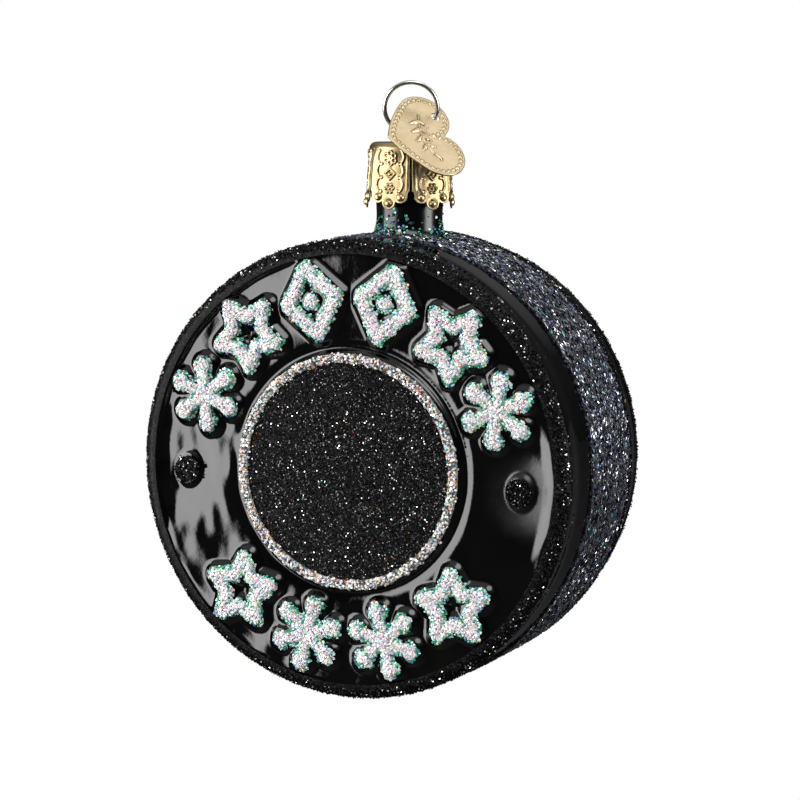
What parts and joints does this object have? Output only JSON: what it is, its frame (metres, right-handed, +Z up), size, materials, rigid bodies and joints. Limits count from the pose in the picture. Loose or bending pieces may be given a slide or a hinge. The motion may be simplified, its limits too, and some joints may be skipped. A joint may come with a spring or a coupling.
{
  "type": "hanging glass ornament",
  "caption": "Hollow black glass ornament shaped like a thick puck, with raised glitter stars and flakes, a glittered side, a gold crown cap, a sprung wire hanger and a heart tag.",
  "frame": {"origin": "the point inside the top of the wire ring, where a hook or ribbon carries the ornament", "axes": "+Z up along the neck, -Y out of the decorated front face, +X to the right of a viewer facing the front"},
  "size_m": [0.0753, 0.0417, 0.1005],
  "materials": {
    "black_glass": "gloss black lacquer on blown glass",
    "black_glitter": "fine black glitter in clear glue",
    "hologram_glitter": "coarse silver hologram glitter",
    "pearl_glitter": "pearl white iridescent glitter with teal fringe",
    "silver_blue_glitter": "fine dark glitter with silver and indigo grains",
    "teal_flakes": "sparse teal and blue flakes",
    "gold_cap": "stamped, pale gold, satin",
    "gold_tag": "stamped, pale gold, matte",
    "steel_wire": "bright drawn steel wire"
  },
  "bodies": {
    "hanger": {"hanger_wire": "steel_wire"},
    "cap": {"cap_shell": "gold_cap"},
    "ornament": {"disc_glitter_back": "black_glitter", "disc_glitter_front": "black_glitter", "dot_glitter_back": "black_glitter", "dot_glitter_front": "black_glitter", "glass_body": "black_glass", "lower_marks_back": "pearl_glitter", "lower_marks_front": "pearl_glitter", "neck_glitter": "teal_flakes", "rim_glitter_back": "black_glitter", "rim_glitter_front": "black_glitter", "ring_glitter_back": "hologram_glitter", "ring_glitter_front": "hologram_glitter", "side_glitter": "silver_blue_glitter", "side_line_glitter": "black_glitter", "upper_marks_back": "pearl_glitter", "upper_marks_front": "pearl_glitter"},
    "tag": {"tag": "gold_tag"}
  },
  "joints": [
    {"name": "hanger_turn", "type": "hinge", "parent": "hanger", "child": "cap", "pos_m": [-0.00117, 0.00266, -0.00952], "axis": [0, 0, 1], "continuous": true},
    {"name": "glass_pull", "type": "slide", "parent": "cap", "child": "ornament", "axis": [0, 0, -1], "range_m": [0, 0.016]},
    {"name": "tag_swing", "type": "hinge", "parent": "hanger", "child": "tag", "pos_m": [0.00302, 0.00314, -0.00543], "axis": [-0.6101, -0.7923, 0], "range_deg": [0, 65]}
  ]
}
